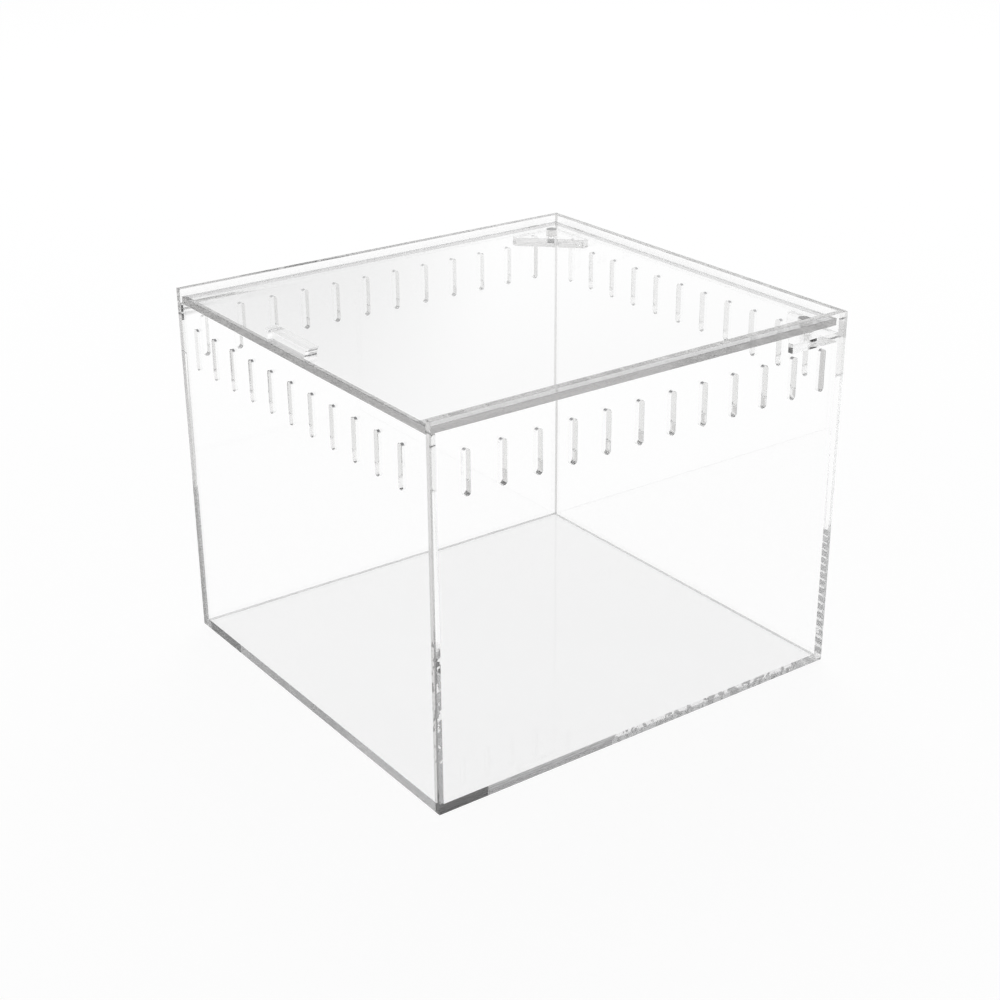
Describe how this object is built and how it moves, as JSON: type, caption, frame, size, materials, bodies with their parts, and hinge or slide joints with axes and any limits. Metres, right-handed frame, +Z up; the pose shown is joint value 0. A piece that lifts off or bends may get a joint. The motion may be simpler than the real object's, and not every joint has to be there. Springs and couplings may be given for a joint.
{
  "type": "clear plastic pet keeper",
  "caption": "Clear acrylic keeper box for a small pet, with slotted vents near the rim, a low front wall and a lift-off lid held by round magnets in the back corners.",
  "frame": {"origin": "centre of the footprint on the table, at the bottom of the walls and base", "axes": "+Z up; -Y is the front, where the lid meets the low front wall and carries its handle; +X is to the right of someone who looks at the front"},
  "size_m": [0.19, 0.2, 0.1599],
  "materials": {
    "clear_acrylic": "polished faces, clear glue at the joints",
    "magnet_nickel": "nickel plated"
  },
  "bodies": {
    "box": {"base_plate": "clear_acrylic", "left_panel": "clear_acrylic", "right_panel": "clear_acrylic", "front_wall": "clear_acrylic", "back_wall": "clear_acrylic", "left_gusset": "clear_acrylic", "right_gusset": "clear_acrylic", "left_gusset_magnet": "magnet_nickel", "right_gusset_magnet": "magnet_nickel"},
    "lid": {"lid_panel": "clear_acrylic", "lid_handle": "clear_acrylic", "left_lid_magnet": "magnet_nickel", "right_lid_magnet": "magnet_nickel"}
  },
  "joints": [
    {"name": "lid_lift", "type": "slide", "parent": "box", "child": "lid", "axis": [0, 0, 1], "range_m": [0, 0.06]}
  ]
}
